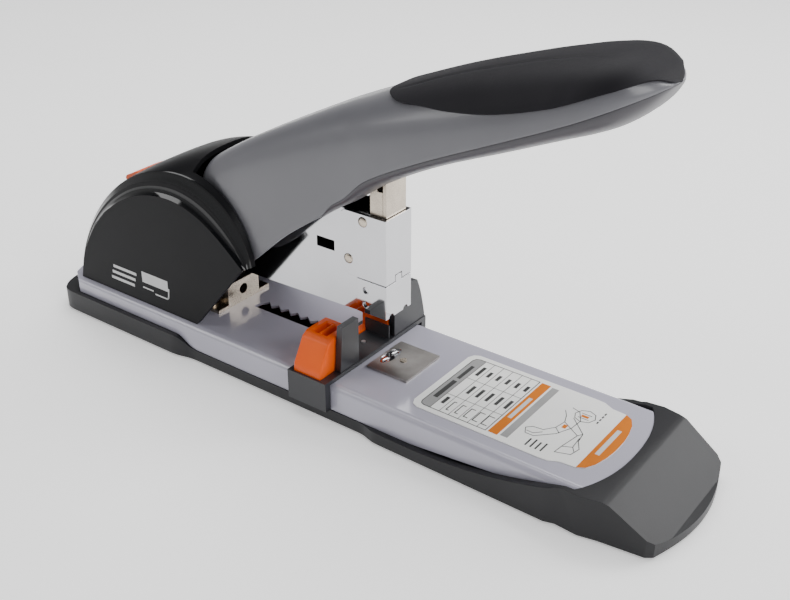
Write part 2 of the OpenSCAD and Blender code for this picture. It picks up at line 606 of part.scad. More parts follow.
// soft grip over the front of the upper shell
grip_plan = [[30, 5], [34, 11], [42, 17], [54, 21.5], [80, grip_half - 3], [101, grip_half - 3.5],
    [110, grip_half - 6], [117, grip_half - 10], [121, grip_half - 14]];
module grip_pad() color("#3a393e") mech() intersection() {
    difference() {
        loft(grip_t);
        loft(0.03);
    }
    translate([0, 0, 130]) linear_extrude(60) polygon(mirror_y(grip_plan));
}
lever_front = 66;
function lever_line() = concat(arc(handle_px, handle_pz, 8, 300, 105, 10),
    [[-40, handle_pz + 22], [2, handle_pz + 53], [34, handle_pz + 67], [lever_front, handle_pz + 78],
    [lever_front, handle_pz + 65], [34, handle_pz + 52], [2, handle_pz + 34], [-40, handle_pz + 4]]);
slot_half_x = 2.4;
slot_half_z = 0.8;
module handle_lever() color("#b4b4b8") mech() difference() {
    union() {
        both(lever_in, lever_out) polygon(lever_line());
        box([34, -lever_in - eps, handle_pz + 53], [36, lever_in + eps, handle_pz + 66]);
        slab(-lever_in - eps, lever_in + eps) polygon([[34, handle_pz + 67], [lever_front, handle_pz + 78],
            [lever_front, handle_pz + 76.4], [34, handle_pz + 65.4]]);
    }
    pin_y(handle_px, handle_pz, main_pin_r + run_fit, -30, 30);
    lugs(lug_r + 0.3, 0, 60);
    translate([drive_pin_x - slot_half_x, 0, drive_pin_z - slot_half_z])
        box([-slot_half_x - drive_pin_r - 0.7, -30, -drive_pin_r - 0.7 - slot_half_z],
            [slot_half_x + drive_pin_r + 0.7, 30, drive_pin_r + 0.7 + slot_half_z]);
}

// paper guide
guide_x0 = -7.5;
guide_x1 = 12;
guide_in = deck_half + 0.5;
guide_out = half_w + 3;
bar_z = deck_z + 0.2;
bar_t = 1.8;
latch_x0 = -5.5;
latch_x1 = 8.2;
latch_in = 11.8;
latch_travel = 2.2;
latch_z = deck_z + 15.5;
post_x = [guide_x0 + 7.5, guide_x0 + 11.5];
post_y = 0.6;
module paper_guide() color("#4a4c51") mech() difference() {
    union() {
        box([guide_x0, -guide_out, bar_z], [guide_x1, guide_out, bar_z + bar_t]);
        for (s = [-1, 1]) box([guide_x0, min(s * guide_in, s * guide_out), skirt_z + 0.5],
            [guide_x1, max(s * guide_in, s * guide_out), bar_z + eps]);
        // upright fins: a narrow one on the near side, a wide curved one on the far side
        translate([guide_x1 - 3.2, 0, 0]) rotate([90, 0, 90]) linear_extrude(2.8) {
            polygon([[-24, bar_z], [-22, deck_z + 21.8], [-12, deck_z + 21.8], [-12, bar_z]]);
            polygon(concat([[12, bar_z], [12, deck_z + 21.8], [23, deck_z + 23.5]],
                bez([28, deck_z + 22], [31, deck_z + 16], [32.6, deck_z + 8], [guide_out, bar_z], 6)));
        }
        box([latch_x0 + 4, mag_half + 0.5, bar_z], [guide_x1 - 1, mag_half + 1.1, bar_z + 8]);
    }
    // pockets for the latches and a way for the pawl's arm
    for (s = [0, 1]) mirror([0, s, 0]) box(
        [latch_x0 - 0.3, latch_in - latch_travel - 0.2, bar_z + bar_t - 0.8],
        [latch_x1 + 0.3, guide_out - 1, bar_z + bar_t + 1]);
    box([latch_x0 - 0.3, -4.5, bar_z - 1], [latch_x0 + 4.3, latch_in + 1, bar_z + 3]);
    // posts of the clip
    for (x = post_x) translate([x, post_y, bar_z - 1]) cylinder(r = 1, h = 4);
}
// clip that holds the guide down, running under the deck
module guide_clip() color(nickel) mech() {
    box([guide_x0 + 1, -9, deck_z - deck_t - 1.7], [guide_x1 - 1, 9, deck_z - deck_t - 0.5]);
    for (x = post_x) translate([x, post_y, deck_z - deck_t - 1]) cylinder(r = 0.95, h = 4.6);
}
latch_low = bar_z + bar_t - 0.75;
module latch_block() difference() {
    translate([latch_x1, 0, 0]) rotate([90, 0, -90]) linear_extrude(latch_x1 - latch_x0)
        polygon([[latch_in, latch_low], [guide_out - 1.2, latch_low], [guide_out - 1.8, latch_low + 4],
            [guide_out - 7.4, latch_z - 0.4], [latch_in + 12, latch_z + 1.2], [latch_in, latch_z + 1.2]]);
    // finger recess with a rib
    for (y = [0, 1]) box([latch_x0 + 3 + y * 4.2, -latch_in - 12, latch_z - 3],
        [latch_x0 + 5.8 + y * 4.2, -latch_in - 3, latch_z + 5]);
}
module guide_latch_near() color(orange) mech() latch_block();
module guide_latch_far() color(orange) mech() union() {
    mirror([0, 1, 0]) latch_block();
    // arm and pawl that drop through the slot into the rack
    box([latch_x0, -1, latch_low], [latch_x0 + 4, latch_in + eps, latch_low + 1.2]);
    box([latch_x0 + 1.2, 0.8, deck_z - deck_t], [latch_x0 + 3, tooth_tip - 0.2, latch_low + eps]);
}
module latch_springs() color("#8a8a8f") mech() for (s = [-1, 1], i = [0:3])
    translate([latch_x0 + 7, s * (latch_in - 0.5 - i * 0.55), bar_z + bar_t + 1.6]) rotate([90, 0, 0])
        rotate_extrude() translate([1.1, 0]) circle(r = 0.25, $fn = 12);

base_tray();
rubber_feet();
deck_plate();
deck_screws();
anvil_plate();
anvil_screw();
label_plate();
pivot_frame();
frame_rivets();
main_pivot_pin();
magazine_pivot_pin();
pin_clips();
handle_spring();
lift_spring();
rear_cover();
cover_screws();
release_button();
magazine_body();
front_cover();
cover_rivets();
staple_track();
track_nose();
staple_strip();
pusher();
pusher_rod();
pusher_spring();
driver_block();
driver_blade();
driver_pin();
handle_upper_shell();
handle_lower_shell();
grip_pad();
handle_lever();
handle_screws();
paper_guide();
guide_clip();
guide_latch_near();
guide_latch_far();
latch_springs();
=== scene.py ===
import bpy
import bmesh
import json
import math
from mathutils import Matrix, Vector

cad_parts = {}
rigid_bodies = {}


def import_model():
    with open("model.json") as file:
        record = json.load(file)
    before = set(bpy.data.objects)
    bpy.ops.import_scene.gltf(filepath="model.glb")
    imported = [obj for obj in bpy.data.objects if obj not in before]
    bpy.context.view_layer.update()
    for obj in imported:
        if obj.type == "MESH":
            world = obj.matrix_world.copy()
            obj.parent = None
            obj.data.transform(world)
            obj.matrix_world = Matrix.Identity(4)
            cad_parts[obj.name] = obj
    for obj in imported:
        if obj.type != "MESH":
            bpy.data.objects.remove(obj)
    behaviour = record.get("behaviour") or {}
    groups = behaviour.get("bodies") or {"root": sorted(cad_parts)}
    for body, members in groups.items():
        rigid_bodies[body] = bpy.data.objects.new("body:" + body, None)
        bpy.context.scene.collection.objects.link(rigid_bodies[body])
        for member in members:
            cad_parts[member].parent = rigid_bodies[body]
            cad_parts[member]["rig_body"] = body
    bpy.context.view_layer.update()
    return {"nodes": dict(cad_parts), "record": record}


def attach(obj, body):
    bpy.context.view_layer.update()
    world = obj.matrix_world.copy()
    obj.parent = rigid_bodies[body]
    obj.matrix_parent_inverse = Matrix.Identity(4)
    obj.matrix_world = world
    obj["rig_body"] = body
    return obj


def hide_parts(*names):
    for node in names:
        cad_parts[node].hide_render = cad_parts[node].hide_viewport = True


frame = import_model()
mm = 0.001
print("frame loaded")

# camera: long lens, from the front left and above
camSettings = {"place": (251.7, -311.1, 259.9), "aim": (-9.0, 40.0, 17.5), "lens": 51.04}


def addCamera(cfg):
    bpy.ops.object.camera_add(location=[c * mm for c in cfg["place"]])
    cam = bpy.context.object
    cam.name = "studioCamera"
    cam.data.lens = cfg["lens"]
    cam.data.sensor_width = 36.0
    cam.data.clip_start = 0.01
    way = Vector(cfg["aim"]) - Vector(cfg["place"])
    cam.rotation_euler = way.to_track_quat("-Z", "Y").to_euler()
    bpy.context.scene.camera = cam


addCamera(camSettings)

# soft boxes: a big one overhead, tall ones at the left and right, and one behind for the toe
lightSettings = [
    {"name": "topBox", "place": (-0.15, 0.35, 1.0), "aim": (0.0, 0.0, 0.05), "size": (1.3, 0.9), "watts": 15.0},
    {"name": "leftBox", "place": (-0.85, -0.75, 0.7), "aim": (-0.05, 0.0, 0.06), "size": (0.45, 0.7), "watts": 4.0},
    {"name": "rightBox", "place": (1.0, -0.15, 0.62), "aim": (0.05, 0.0, 0.06), "size": (0.6, 0.8), "watts": 7.0},
    {"name": "backBox", "place": (0.62, 0.82, 0.6), "aim": (0.13, 0.0, 0.01), "size": (0.5, 0.45), "watts": 5.5},
]


def addLights(boxes):
    for cfg in boxes:
        bpy.ops.object.light_add(type="AREA", location=cfg["place"])
        lamp = bpy.context.object
        lamp.name = cfg["name"]
        lamp.data.shape = "RECTANGLE"
        lamp.data.size, lamp.data.size_y = cfg["size"]
        lamp.data.energy = cfg["watts"]
        way = Vector(cfg["aim"]) - Vector(cfg["place"])
        lamp.rotation_euler = way.to_track_quat("-Z", "Y").to_euler()


addLights(lightSettings)
bpy.ops.object.select_all(action="DESELECT")


def hexColour(text):  # sRGB hex to linear
    parts = [int(text[i:i + 2], 16) / 255 for i in (1, 3, 5)]
    return [p / 12.92 if p <= 0.04045 else ((p + 0.055) / 1.055) ** 2.4 for p in parts] + [1.0]


def addNode(tree, kind, settings=None, links=None):
    node = tree.nodes.new(kind)
    for key, value in (settings or {}).items():
        if key in node.inputs:
            node.inputs[key].default_value = value
        else:
            setattr(node, key, value)
    for key, socket in (links or {}).items():
        tree.links.new(socket, node.inputs[key])
    return node


def startMaterial(name, sockets):
    mat = bpy.data.materials.new(name)
    mat.use_nodes = True
    tree = mat.node_tree
    shader = tree.nodes["Principled BSDF"]
    for key, value in sockets.items():
        shader.inputs[key].default_value = value
    return mat, tree, shader


# two close tones mixed by a cloudy noise, and a fine noise as bump and in the gloss
def speckled(name, dark, light, cloud, grain, depth, rough, sockets):
    mat, tree, shader = startMaterial(name, sockets)
    place = addNode(tree, "ShaderNodeTexCoord")
    clouds = addNode(tree, "ShaderNodeTexNoise", {"Scale": 1 / (cloud * mm), "Detail": 3.0},
            {"Vector": place.outputs["Object"]})
    tone = addNode(tree, "ShaderNodeValToRGB", {}, {"Fac": clouds.outputs["Fac"]})
    tone.color_ramp.elements[0].position, tone.color_ramp.elements[1].position = 0.35, 0.65
    tone.color_ramp.elements[0].color, tone.color_ramp.elements[1].color = hexColour(dark), hexColour(light)
    tree.links.new(tone.outputs["Color"], shader.inputs["Base Color"])
    fine = addNode(tree, "ShaderNodeTexNoise", {"Scale": 1 / (grain * mm), "Detail": 4.0, "Roughness": 0.6},
            {"Vector": place.outputs["Object"]})
    gloss = addNode(tree, "ShaderNodeMapRange", {"To Min": rough[0], "To Max": rough[1]},
            {"Value": fine.outputs["Fac"]})
    tree.links.new(gloss.outputs["Result"], shader.inputs["Roughness"])
    bump = addNode(tree, "ShaderNodeBump", {"Strength": 0.5, "Distance": depth * mm},
            {"Height": fine.outputs["Fac"]})
    tree.links.new(bump.outputs["Normal"], shader.inputs["Normal"])
    return mat


finishes = {
    # moulded ABS with a fine spark grain: a broad, dull highlight
    "trayAbs": speckled("trayAbs", "#19191C", "#1F1F22", 40, 0.7, 0.05, (0.34, 0.44),
                {"IOR": 1.53, "Specular IOR Level": 0.3}),
    # moulded ABS, satin: nearly flat dark tone
    "coverAbs": speckled("coverAbs", "#131315", "#171719", 50, 0.7, 0.03, (0.36, 0.44),
                {"IOR": 1.53, "Specular IOR Level": 0.1}),
    # sprayed satin lacquer on ABS: soft long highlights
    "handlePaint": speckled("handlePaint", "#5F5F64", "#646469", 60, 0.6, 0.01, (0.3, 0.38),
                {"IOR": 1.5, "Coat Weight": 0.3, "Coat Roughness": 0.15}),
    # moulded ABS, satin: a shade duller than the lacquer
    "handleUnder": speckled("handleUnder", "#3A383D", "#403E43", 60, 0.6, 0.02, (0.36, 0.44), {"IOR": 1.5}),
    # the same ABS from a polished mould: sharp narrow highlights; its base colour is darker than the satin ABS,
    # painted shade standing in for the dark surroundings these shoulders reflect
    "coverGlossPaintedShade": speckled("coverGlossPaintedShade", "#08090B", "#0B0C0F", 50, 2, 0.002, (0.06, 0.1), {"IOR": 1.53}),
    # overmoulded rubber-like TPE: matt, hardly any highlight
    "gripTpe": speckled("gripTpe", "#1B1A1E", "#212024", 40, 0.8, 0.06, (0.5, 0.62),
                {"IOR": 1.5, "Specular IOR Level": 0.14}),
    # stoved enamel on pressed steel: clear soft reflections
    "deckEnamel": speckled("deckEnamel", "#ADABB9", "#B3B1BF", 80, 1.5, 0.004, (0.16, 0.22),
                {"IOR": 1.5, "Coat Weight": 0.6, "Coat Roughness": 0.08}),
    # bright chrome plating on sheet steel: near mirror
    "chromePlate": speckled("chromePlate", "#C6C6C9", "#CDCDD0", 30, 6, 0.01, (0.05, 0.1), {"Metallic": 1.0}),
    # dull nickel plating: warm and a little cloudy
    "nickelPlate": speckled("nickelPlate", "#B8AD9E", "#C6BBAC", 8, 0.5, 0.02, (0.22, 0.34), {"Metallic": 1.0}),
    # zinc plated steel: pale grey with a cloudy sheen
    "zincSteel": speckled("zincSteel", "#A8A9AD", "#B8B9BD", 8, 0.5, 0.02, (0.25, 0.38), {"Metallic": 1.0}),
    # drawn spring wire: darker grey metal
    "springSteel": speckled("springSteel", "#77777C", "#88888D", 8, 0.4, 0.02, (0.25, 0.35), {"Metallic": 1.0}),
    # printed polyester film: even pale satin
    "labelFilm": speckled("labelFilm", "#ECECEA", "#F2F2F0", 30, 1, 0.005, (0.3, 0.36), {"IOR": 1.5}),
    # moulded coloured ABS: strong colour, soft highlight
    "orangeAbs": speckled("orangeAbs", "#EE5602", "#F46008", 20, 0.6, 0.02, (0.32, 0.4),
                {"IOR": 1.53, "Specular IOR Level": 0.3}),
    # moulded ABS, finer grain than the tray
    "guideAbs": speckled("guideAbs", "#212226", "#27282C", 20, 0.6, 0.03, (0.34, 0.44), {"IOR": 1.53}),
    # brushed nickel plated steel: grey satin
    "satinPlate": speckled("satinPlate", "#9A9693", "#A8A4A1", 6, 0.4, 0.03, (0.3, 0.42), {"Metallic": 1.0}),
    # screen printed inks: flat colours on the film
    "inkDark": speckled("inkDark", "#232323", "#2B2B2B", 10, 0.4, 0.002, (0.35, 0.45), {"IOR": 1.5}),
    "inkGrey": speckled("inkGrey", "#8E8E8E", "#969696", 10, 0.4, 0.002, (0.35, 0.45), {"IOR": 1.5}),
    "inkAmber": speckled("inkAmber", "#C66A00", "#CE7000", 10, 0.4, 0.002, (0.4, 0.5),
                {"IOR": 1.5, "Specular IOR Level": 0.2}),
    "inkPale": speckled("inkPale", "#C2C2C2", "#CCCCCC", 10, 0.4, 0.002, (0.35, 0.45), {"IOR": 1.5}),
    # moulded rubber: matt black
    "footRubber": speckled("footRubber", "#222224", "#28282A", 20, 0.8, 0.1, (0.7, 0.85), {"IOR": 1.5}),
}
slotFinish = {
    "base_plastic": "trayAbs", "cover_plastic": "coverAbs", "rubber": "footRubber", "deck_paint": "deckEnamel",
    "chrome": "chromePlate", "nickel": "nickelPlate", "steel": "zincSteel", "spring_steel": "springSteel",
    "label": "labelFilm", "orange_plastic": "orangeAbs", "handle_grey": "handlePaint",
     "handle_under": "handleUnder",
    "grip_soft": "gripTpe", "guide_plastic": "guideAbs",
}


# the CAD nodes keep their shapes; each takes the finish of its material slot
def dressNodes():
    for part in frame["record"]["subparts"]:
        node = frame["nodes"][part["node"]]
        node.data.materials.clear()
        node.data.materials.append(finishes[slotFinish[part["material_slot"]]])


dressNodes()
print("nodes dressed")


# helpers for pieces
def curveAt(table, x):  # smooth values between the rows of a table, by the first column
    x = min(max(x, table[0][0]), table[-1][0])
    i = max(k for k in range(len(table) - 1) if table[k][0] <= x)
    a, b = table[i], table[i + 1]
    before, after = table[max(i - 1, 0)], table[min(i + 2, len(table) - 1)]
    h = b[0] - a[0]
    t = (x - a[0]) / h
    out = []
    for k in range(1, len(a)):
        ma = (b[k] - before[k]) / (b[0] - before[0])
        mb = (after[k] - a[k]) / (after[0] - a[0])
        out.append((2 * t**3 - 3 * t**2 + 1) * a[k] + (t**3 - 2 * t**2 + t) * h * ma
                   + (3 * t**2 - 2 * t**3) * b[k] + (t**3 - t**2) * h * mb)
    return out


def selectOnly(obj):
    bpy.ops.object.select_all(action="DESELECT")
    obj.select_set(True)
    bpy.context.view_layer.objects.active = obj


def sheetFrom(name, rows, finishOf, names):  # rows of points in mm become a sheet of faces
    mesh = bpy.data.meshes.new(name)
    wide = len(rows[0])
    faces = [(i * wide + j, i * wide + j + 1, (i + 1) * wide + j + 1, (i + 1) * wide + j)
             for i in range(len(rows) - 1) for j in range(wide - 1)]
    mesh.from_pydata([[c * mm for c in p] for row in rows for p in row], [], faces)
    for n in names:
        mesh.materials.append(finishes[n])
    for face, spot in zip(mesh.polygons, ((i, j) for i in range(len(rows) - 1) for j in range(wide - 1))):
        face.material_index = finishOf(*spot)
    obj = bpy.data.objects.new(name, mesh)
    bpy.context.scene.collection.objects.link(obj)
    selectOnly(obj)
    bpy.ops.object.mode_set(mode="EDIT")
    bpy.ops.mesh.select_all(action="SELECT")
    bpy.ops.mesh.remove_doubles(threshold=0.00002)
    bpy.ops.mesh.dissolve_degenerate(threshold=0.00001)
    bpy.ops.mesh.select_all(action="SELECT")
    bpy.ops.mesh.normals_make_consistent(inside=False)
    bpy.ops.object.mode_set(mode="OBJECT")
    return obj


def applyModifier(obj, kind, **settings):
    selectOnly(obj)
    mod = obj.modifiers.new(kind.lower(), kind)
    for key, value in settings.items():
        setattr(mod, key, value)
    bpy.ops.object.modifier_apply(modifier=mod.name)


def settle(obj, body, nodes=(), angle=35, flat=False):
    selectOnly(obj)
    bpy.ops.object.shade_smooth_by_angle(angle=math.radians(angle))
    if flat:  # large faces stay flat up to their broken edges
        applyModifier(obj, "WEIGHTED_NORMAL", mode="FACE_AREA", weight=80, keep_sharp=True)
    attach(obj, body)
    if nodes:
        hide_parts(*nodes)


def cutter(name, low, high, corner=0.0):  # a block to cut with, its upright edges rounded
    bpy.ops.object.select_all(action="DESELECT")
    middle = [(a + b) / 2 * mm for a, b in zip(low, high)]
    bpy.ops.mesh.primitive_cube_add(size=1.0, location=middle)
    obj = bpy.context.object
    obj.name = name
    obj.scale = [(b - a) * mm for a, b in zip(low, high)]
    bpy.ops.object.transform_apply(location=True, rotation=True, scale=True)
    if corner:
        bpy.ops.object.mode_set(mode="EDIT")
        bpy.ops.mesh.select_all(action="DESELECT")
        form = bmesh.from_edit_mesh(obj.data)
        for e in form.edges:
            a, b = e.verts[0].co, e.verts[1].co
            e.select_set(abs(a.x - b.x) < 1e-6 and abs(a.y - b.y) < 1e-6)
        bmesh.update_edit_mesh(obj.data)
        bpy.ops.mesh.bevel(offset=corner * mm, segments=6)
        bpy.ops.object.mode_set(mode="OBJECT")
    return obj


def cutAway(obj, tool):
    applyModifier(obj, "BOOLEAN", operation="DIFFERENCE", object=tool, solver="EXACT")
    bpy.data.objects.remove(tool)


# a CAD node's own shape with its sharp edges broken, as moulded or pressed parts have
def soften(node, slot, width, segments, angle):
    source = frame["nodes"][node]
    mesh = source.data.copy()
    obj = bpy.data.objects.new(node + "Finished", mesh)
    bpy.context.scene.collection.objects.link(obj)
    obj.data.materials.clear()
    obj.data.materials.append(finishes[slotFinish[slot]])
    selectOnly(obj)
    if mesh.has_custom_normals:
        bpy.ops.mesh.customdata_custom_splitnormals_clear()
    bpy.ops.object.mode_set(mode="EDIT")
    bpy.ops.mesh.select_all(action="SELECT")
    bpy.ops.mesh.remove_doubles(threshold=0.000008)
    bpy.ops.mesh.dissolve_limited(angle_limit=math.radians(0.6))
    bpy.ops.object.mode_set(mode="OBJECT")
    applyModifier(obj, "BEVEL", width=width * mm, segments=segments, limit_method="ANGLE",
                  angle_limit=math.radians(angle), use_clamp_overlap=True, harden_normals=False)
    settle(obj, source["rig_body"], [node], 50, True)


# handle: two mouldings that meet at a seam, soft grip over the upper one
handleSettings = {
    # along X in mm: top, lower edge, half width, squareness of the section
    "shape": [(-66, 84, 44, 19.6, 5), (-63, 89.2, 44.2, 20.6, 5), (-57, 93.6, 45, 21, 5), (-42, 102.3, 49, 21, 5),
              (-18, 114.6, 69.5, 21.4, 4.4), (0, 123.4, 82.5, 22, 4), (14, 129.6, 91, 22.6, 3.6),
              (28, 135.7, 101, 23.6, 3.2), (52, 145.2, 114, 24.8, 2.8), (80, 154.5, 126, 25.6, 2.6),
              (96, 159.1, 132.8, 25.2, 2.6), (101, 160.3, 134.8, 24.6, 2.6)],
    "frontTop": [(101, 160.3), (108, 161.6), (113, 161.9), (116.5, 161.2), (119.5, 159.4), (123, 157.4),
                 (126.6, 154.6)],
    "frontLow": [(101, 134.8), (108, 137.6), (114, 140.4), (119, 143.9), (123, 148), (126.6, 153.9)],
    "seam": [(3, 84.45), (5, 87.4), (8, 90.6), (14, 94.9), (24, 104.2), (48.5, 117.6), (80, 132.3), (101, 141.9),
             (113, 147.8), (121, 151.7), (126.6, 154.25)],
    "frontX": 101.0, "tipX": 126.6, "frontHalf": 24.6, "frontRound": 2.2, "frontSquare": 2.6,
    "wall": 2.2, "gapEdge": 0.3, "rearX": -66, "columns": 56, "frontSteps": 22,
    "lowerX": 3.2, "lowerSquare": 2.5, "lowerGap": 0.12, "lowerWall": 1.8, "lowerEdge": 0.25, "lowerColumns": 40,
    "mouthLow": (-10, -13.2, 40), "mouthHigh": (34, 13.2, 200), "mouthCorner": 3.0,
}


def handleAt(x):
    cfg = handleSettings
    if x <= cfg["frontX"]:
        top, low, half, square = curveAt(cfg["shape"], x)
    else:
        share = (x - cfg["frontX"]) / (cfg["tipX"] - cfg["frontX"])
        top, low = curveAt(cfg["frontTop"], x)[0], curveAt(cfg["frontLow"], x)[0]
        half = cfg["frontHalf"] * math.sqrt(max(0.0, 1 - share ** cfg["frontRound"]))
        square = cfg["frontSquare"]
    seam = max(low, curveAt(cfg["seam"], x)[0]) if x > cfg["seam"][0][0] else low
    return top, low, half, square, min(seam, top)


def ovalPoint(angle, power):
    c, s = math.cos(angle), math.sin(angle)
    r = (abs(c) ** power + abs(s) ** power) ** (1 / power)
    return c / r, s / r


def handleXs(first, step=2.0):
    cfg = handleSettings
    count = int((cfg["frontX"] - first) / step)
    reach = cfg["tipX"] - cfg["frontX"]
    steps = cfg["frontSteps"]
    front = [cfg["frontX"] + reach * math.sin(math.pi / 2 * k / steps)
            for k in range(steps + 1)]  # closer near the tip
    return [first + step * k for k in range(count)] + front


def makeHandle():
    cfg = handleSettings
    rows = []
    for x in handleXs(cfg["rearX"]):
        top, low, half, square, seam = handleAt(x)
        row = []
        for k in range(cfg["columns"] + 1):
            y, z = ovalPoint(math.pi * k / cfg["columns"], square)
            row.append((x, half * y, seam + (top - seam) * z))
        rows.append(row)
    upper = sheetFrom("handleUpper", rows, lambda i, j: 0, ["handlePaint"])
    applyModifier(upper, "SOLIDIFY", thickness=cfg["wall"] * mm, offset=-1.0)
    applyModifier(upper, "BEVEL", width=cfg["gapEdge"] * mm, segments=2, limit_method="ANGLE",
            angle_limit=math.radians(50))
    settle(upper, "handle", ["handle_upper_shell"])
    rows = []
    for x in handleXs(cfg["lowerX"]):
        top, low, half, square, seam = handleAt(x)
        row = []
        for k in range(cfg["lowerColumns"] + 1):
            y, z = ovalPoint(-math.pi * k / cfg["lowerColumns"], cfg["lowerSquare"])
            row.append((x, half * y, seam - cfg["lowerGap"] + (seam - low) * z))
        rows.append(row)
    lower = sheetFrom("handleLower", rows, lambda i, j: 0, ["handleUnder"])
    applyModifier(lower, "SOLIDIFY", thickness=cfg["lowerWall"] * mm, offset=-1.0)
    applyModifier(lower, "BEVEL", width=cfg["lowerEdge"] * mm, segments=2, limit_method="ANGLE",
            angle_limit=math.radians(55))
    cutAway(lower, cutter("mouthCutter", cfg["mouthLow"], cfg["mouthHigh"], cfg["mouthCorner"]))
    settle(lower, "handle", ["handle_lower_shell"])


makeHandle()
print("handle made")

gripSettings = {
    # how far up the side the grip's edge runs, as a share of the height above the seam
    "edge": [(25.6, 0.995), (27, 0.975), (30, 0.93), (34, 0.87), (38.7, 0.81), (46, 0.74), (58, 0.6),
             (77.6, 0.43), (97.3, 0.35), (105, 0.37), (112, 0.41), (116, 0.46), (119, 0.58), (121, 0.7),
             (123.5, 0.84), (126.6, 0.9)],
    "thick": 0.85, "groove": [(34, 11.5), (50, 9.8), (70, 9.2), (90, 9.4), (112, 10.0)], "grooveDeep": 0.5,
    "grooveWide": 0.75,
    "grooveFrom": 30, "grooveTo": 112, "lift": 0.03, "columns": 72, "outside": 0.45, "roundEdge": 0.4,
}


def makeGrip():
    cfg = gripSettings
    rows = []
    for x in [25.8, 26.2] + handleXs(26.8, 1.0):
        top, low, half, square, seam = handleAt(x)
        up = min(0.9985, curveAt(cfg["edge"], x)[0])
        side = (1 - up ** square) ** (1 / square)
        start = math.atan2(up, side)
        row = []
        for k in range(cfg["columns"] + 1):
            y, z = ovalPoint(start + (math.pi - 2 * start) * k / cfg["columns"], square)
            row.append((x, (half + cfg["lift"]) * y, seam + (top + cfg["lift"] - seam) * z))
        rows.append(row)
    grip = sheetFrom("gripPad", rows, lambda i, j: 0, ["gripTpe"])
    applyModifier(grip, "SOLIDIFY", thickness=cfg["thick"] * mm, offset=1.0)
    for v in grip.data.vertices:  # the two long grooves
        x, y, z = [c / mm for c in v.co]
        if cfg["grooveFrom"] < x < cfg["grooveTo"]:
            top, low, half, square, seam = handleAt(x)
            under = seam + (top - seam) * max(0.0, 1 - (abs(y) / half) ** square) ** (1 / square)
            if z - under > cfg["outside"]:
                ends = min(1.0, (x - cfg["grooveFrom"]) / 8.0, (cfg["grooveTo"] - x) / 6.0)
                off = (abs(y) - curveAt(cfg["groove"], x)[0]) / cfg["grooveWide"]
                v.co.z -= cfg["grooveDeep"] * ends * math.exp(-off * off) * mm
    applyModifier(grip, "BEVEL", width=cfg["roundEdge"] * mm, segments=3, limit_method="ANGLE",
            angle_limit=math.radians(55))
    settle(grip, "handle", ["grip_pad"], 45)


makeGrip()
print("grip made")


# rear cover: flat cheeks, two glossy shoulders round each, arched top
def bezier(a, b, c, d, count):
    out = []
    for k in range(count + 1):
        t = k / count
        out.append(tuple((1 - t) ** 3 * a[i] + 3 * (1 - t) ** 2 * t * b[i]
                         + 3 * (1 - t) * t * t * c[i] + t**3 * d[i] for i in (0, 1)))
    return out


coverSettings = {
    "cheek": [((-139, 17.5), (-133, 48), (-104, 73), (-76, 73)), ((-76, 73), (-58, 73), (-46, 62), (-35, 52.5))],
    "rim": [((-143, 17.5), (-139, 47), (-106, 84), (-70, 84.2)),
            ((-70, 84.2), (-51, 84.2), (-36, 70), (-33.4, 52.6))],
    "crown": [((-147, 17.5), (-144, 48), (-110, 80), (-62, 92.5)),
              ((-62, 92.5), (-48, 92), (-34, 74), (-32.6, 52.8))],
    "foot": (-64.5, 17.5),
    # share of the way from cheek to rim, then half width there; glossy shoulders are marked 1 and take the polished
    # ABS, whose darker base colour is painted shade
    "shoulders": [(0.0, 28.0, 0), (0.012, 27.95, 1), (0.10, 27.2, 1), (0.19, 26.7, 1), (0.28, 26.35, 1),
                  (0.37, 26.2, 1), (0.385, 26.15, 0), (0.47, 26.05, 0), (0.57, 25.9, 0), (0.585, 25.85, 1),
                  (0.68, 25.35, 1), (0.78, 24.9, 1), (0.88, 24.45, 1), (0.98, 24.05, 1), (1.0, 23.9, 0)],
    "archWidths": [23.3, 22.4, 21, 19, 16, 12, 7, 2],
    "wall": 2.1, "cheekHalf": 28.0, "crownHalf": 23.9, "crownRound": 2.6, "edge": 0.35,
    "notchLow": (-65, -21.8, 17), "notchHigh": (20, 21.8, 130), "notchCorner": 7.0,
    "holeSize": (10.4, 9.4, 16), "holeAt": (-113.5, 0, 68), "holeTilt": 33, "holeCorner": 2.0,
}


def coverLine(parts, count=26):
    line = bezier(*parts[0], count)
    return line + bezier(*parts[1], count)[1:]


def between(first, second, share):
    return [(a[0] + (b[0] - a[0]) * share, a[1] + (b[1] - a[1]) * share) for a, b in zip(first, second)]


